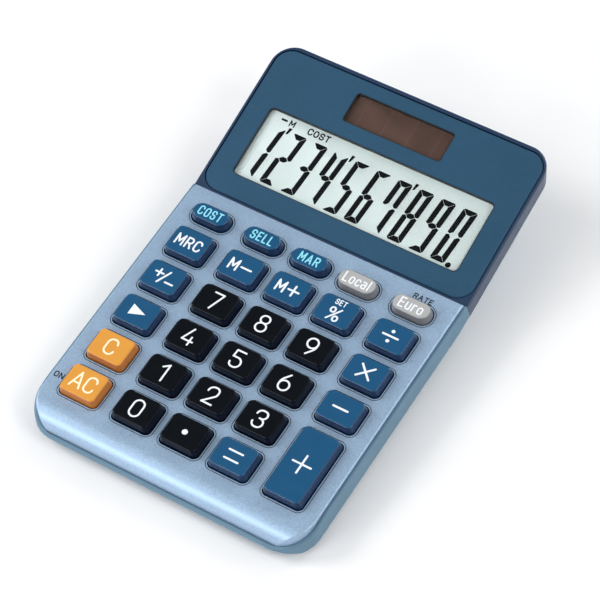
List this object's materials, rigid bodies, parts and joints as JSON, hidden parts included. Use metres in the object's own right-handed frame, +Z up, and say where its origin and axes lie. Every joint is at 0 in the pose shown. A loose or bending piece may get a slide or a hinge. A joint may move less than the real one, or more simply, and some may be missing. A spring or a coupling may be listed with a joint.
{
  "type": "desk calculator",
  "caption": "Desk calculator with a sloping keyboard of sprung keys, a steeper display head with a display window and a solar cell window, and rubber feet under a wedge-shaped case.",
  "frame": {"origin": "on the desk, under the middle of the case", "axes": "+X to the user's right, +Y from the user to the display end, +Z up"},
  "size_m": [0.1016, 0.156, 0.0298],
  "materials": {
    "deck_blue": "satin metallic paint",
    "case_blue": "fine texture",
    "navy": "satin",
    "panel_blue": "satin brushed",
    "window": "clear",
    "lcd": "pale grey-green cell",
    "foil": "dull foil",
    "black_plastic": "plain",
    "flex": "amber film",
    "solar": "dark brown cell",
    "wire": "insulation",
    "board": "tan laminate",
    "resin": "epoxy resin",
    "components": "mixed",
    "silicone": "translucent grey",
    "steel": "plated",
    "cell": "nickel",
    "contact": "nickel on spring steel",
    "foot_rubber": "matt",
    "orange_key": "satin",
    "grey_key": "satin",
    "blue_key": "satin",
    "dark_key": "satin"
  },
  "bodies": {
    "case": {"battery_contact_negative": "contact", "battery_contact_positive": "contact", "battery_cover": "case_blue", "battery_cover_screw": "steel", "board_components": "components", "board_screws": "steel", "button_cell": "cell", "case_screws": "steel", "circuit_board": "board", "controller_chip": "resin", "display_housing": "navy", "display_panel": "panel_blue", "display_window": "window", "keypad_rubber": "silicone", "lcd_flex": "flex", "lcd_frame": "black_plastic", "lcd_glass": "lcd", "lcd_reflector": "foil", "lower_case": "case_blue", "rubber_feet": "foot_rubber", "solar_cell": "solar", "solar_window": "window", "solar_wires": "wire", "upper_case": "deck_blue"},
    "key_0": {"key_0": "dark_key"},
    "key_1": {"key_1": "dark_key"},
    "key_2": {"key_2": "dark_key"},
    "key_3": {"key_3": "dark_key"},
    "key_4": {"key_4": "dark_key"},
    "key_5": {"key_5": "dark_key"},
    "key_6": {"key_6": "dark_key"},
    "key_7": {"key_7": "dark_key"},
    "key_8": {"key_8": "dark_key"},
    "key_9": {"key_9": "dark_key"},
    "key_all_clear": {"key_all_clear": "orange_key"},
    "key_backspace": {"key_backspace": "blue_key"},
    "key_clear": {"key_clear": "orange_key"},
    "key_cost": {"key_cost": "blue_key"},
    "key_divide": {"key_divide": "blue_key"},
    "key_equals": {"key_equals": "blue_key"},
    "key_euro": {"key_euro": "grey_key"},
    "key_local": {"key_local": "grey_key"},
    "key_margin": {"key_margin": "blue_key"},
    "key_memory_minus": {"key_memory_minus": "blue_key"},
    "key_memory_plus": {"key_memory_plus": "blue_key"},
    "key_memory_recall": {"key_memory_recall": "blue_key"},
    "key_minus": {"key_minus": "blue_key"},
    "key_percent": {"key_percent": "blue_key"},
    "key_plus": {"key_plus": "blue_key"},
    "key_point": {"key_point": "dark_key"},
    "key_sell": {"key_sell": "blue_key"},
    "key_sign": {"key_sign": "blue_key"},
    "key_times": {"key_times": "blue_key"}
  },
  "joints": [
    {"name": "press_0", "type": "slide", "parent": "case", "child": "key_0", "axis": [0, 0.061, -0.9981], "range_m": [0, 0.0012], "stiffness_N_per_m": 300, "springref_m": -0.0003},
    {"name": "press_1", "type": "slide", "parent": "case", "child": "key_1", "axis": [0, 0.061, -0.9981], "range_m": [0, 0.0012], "stiffness_N_per_m": 300, "springref_m": -0.0003},
    {"name": "press_2", "type": "slide", "parent": "case", "child": "key_2", "axis": [0, 0.061, -0.9981], "range_m": [0, 0.0012], "stiffness_N_per_m": 300, "springref_m": -0.0003},
    {"name": "press_3", "type": "slide", "parent": "case", "child": "key_3", "axis": [0, 0.061, -0.9981], "range_m": [0, 0.0012], "stiffness_N_per_m": 300, "springref_m": -0.0003},
    {"name": "press_4", "type": "slide", "parent": "case", "child": "key_4", "axis": [0, 0.061, -0.9981], "range_m": [0, 0.0012], "stiffness_N_per_m": 300, "springref_m": -0.0003},
    {"name": "press_5", "type": "slide", "parent": "case", "child": "key_5", "axis": [0, 0.061, -0.9981], "range_m": [0, 0.0012], "stiffness_N_per_m": 300, "springref_m": -0.0003},
    {"name": "press_6", "type": "slide", "parent": "case", "child": "key_6", "axis": [0, 0.061, -0.9981], "range_m": [0, 0.0012], "stiffness_N_per_m": 300, "springref_m": -0.0003},
    {"name": "press_7", "type": "slide", "parent": "case", "child": "key_7", "axis": [0, 0.061, -0.9981], "range_m": [0, 0.0012], "stiffness_N_per_m": 300, "springref_m": -0.0003},
    {"name": "press_8", "type": "slide", "parent": "case", "child": "key_8", "axis": [0, 0.061, -0.9981], "range_m": [0, 0.0012], "stiffness_N_per_m": 300, "springref_m": -0.0003},
    {"name": "press_9", "type": "slide", "parent": "case", "child": "key_9", "axis": [0, 0.061, -0.9981], "range_m": [0, 0.0012], "stiffness_N_per_m": 300, "springref_m": -0.0003},
    {"name": "press_all_clear", "type": "slide", "parent": "case", "child": "key_all_clear", "axis": [0, 0.061, -0.9981], "range_m": [0, 0.0012], "stiffness_N_per_m": 300, "springref_m": -0.0003},
    {"name": "press_backspace", "type": "slide", "parent": "case", "child": "key_backspace", "axis": [0, 0.061, -0.9981], "range_m": [0, 0.0012], "stiffness_N_per_m": 300, "springref_m": -0.0003},
    {"name": "press_clear", "type": "slide", "parent": "case", "child": "key_clear", "axis": [0, 0.061, -0.9981], "range_m": [0, 0.0012], "stiffness_N_per_m": 300, "springref_m": -0.0003},
    {"name": "press_cost", "type": "slide", "parent": "case", "child": "key_cost", "axis": [0, 0.061, -0.9981], "range_m": [0, 0.0012], "stiffness_N_per_m": 300, "springref_m": -0.0003},
    {"name": "press_divide", "type": "slide", "parent": "case", "child": "key_divide", "axis": [0, 0.061, -0.9981], "range_m": [0, 0.0012], "stiffness_N_per_m": 300, "springref_m": -0.0003},
    {"name": "press_equals", "type": "slide", "parent": "case", "child": "key_equals", "axis": [0, 0.061, -0.9981], "range_m": [0, 0.0012], "stiffness_N_per_m": 300, "springref_m": -0.0003},
    {"name": "press_euro", "type": "slide", "parent": "case", "child": "key_euro", "axis": [0, 0.061, -0.9981], "range_m": [0, 0.0012], "stiffness_N_per_m": 300, "springref_m": -0.0003},
    {"name": "press_local", "type": "slide", "parent": "case", "child": "key_local", "axis": [0, 0.061, -0.9981], "range_m": [0, 0.0012], "stiffness_N_per_m": 300, "springref_m": -0.0003},
    {"name": "press_margin", "type": "slide", "parent": "case", "child": "key_margin", "axis": [0, 0.061, -0.9981], "range_m": [0, 0.0012], "stiffness_N_per_m": 300, "springref_m": -0.0003},
    {"name": "press_memory_minus", "type": "slide", "parent": "case", "child": "key_memory_minus", "axis": [0, 0.061, -0.9981], "range_m": [0, 0.0012], "stiffness_N_per_m": 300, "springref_m": -0.0003},
    {"name": "press_memory_plus", "type": "slide", "parent": "case", "child": "key_memory_plus", "axis": [0, 0.061, -0.9981], "range_m": [0, 0.0012], "stiffness_N_per_m": 300, "springref_m": -0.0003},
    {"name": "press_memory_recall", "type": "slide", "parent": "case", "child": "key_memory_recall", "axis": [0, 0.061, -0.9981], "range_m": [0, 0.0012], "stiffness_N_per_m": 300, "springref_m": -0.0003},
    {"name": "press_minus", "type": "slide", "parent": "case", "child": "key_minus", "axis": [0, 0.061, -0.9981], "range_m": [0, 0.0012], "stiffness_N_per_m": 300, "springref_m": -0.0003},
    {"name": "press_percent", "type": "slide", "parent": "case", "child": "key_percent", "axis": [0, 0.061, -0.9981], "range_m": [0, 0.0012], "stiffness_N_per_m": 300, "springref_m": -0.0003},
    {"name": "press_plus", "type": "slide", "parent": "case", "child": "key_plus", "axis": [0, 0.061, -0.9981], "range_m": [0, 0.0012], "stiffness_N_per_m": 300, "springref_m": -0.0003},
    {"name": "press_point", "type": "slide", "parent": "case", "child": "key_point", "axis": [0, 0.061, -0.9981], "range_m": [0, 0.0012], "stiffness_N_per_m": 300, "springref_m": -0.0003},
    {"name": "press_sell", "type": "slide", "parent": "case", "child": "key_sell", "axis": [0, 0.061, -0.9981], "range_m": [0, 0.0012], "stiffness_N_per_m": 300, "springref_m": -0.0003},
    {"name": "press_sign", "type": "slide", "parent": "case", "child": "key_sign", "axis": [0, 0.061, -0.9981], "range_m": [0, 0.0012], "stiffness_N_per_m": 300, "springref_m": -0.0003},
    {"name": "press_times", "type": "slide", "parent": "case", "child": "key_times", "axis": [0, 0.061, -0.9981], "range_m": [0, 0.0012], "stiffness_N_per_m": 300, "springref_m": -0.0003}
  ]
}
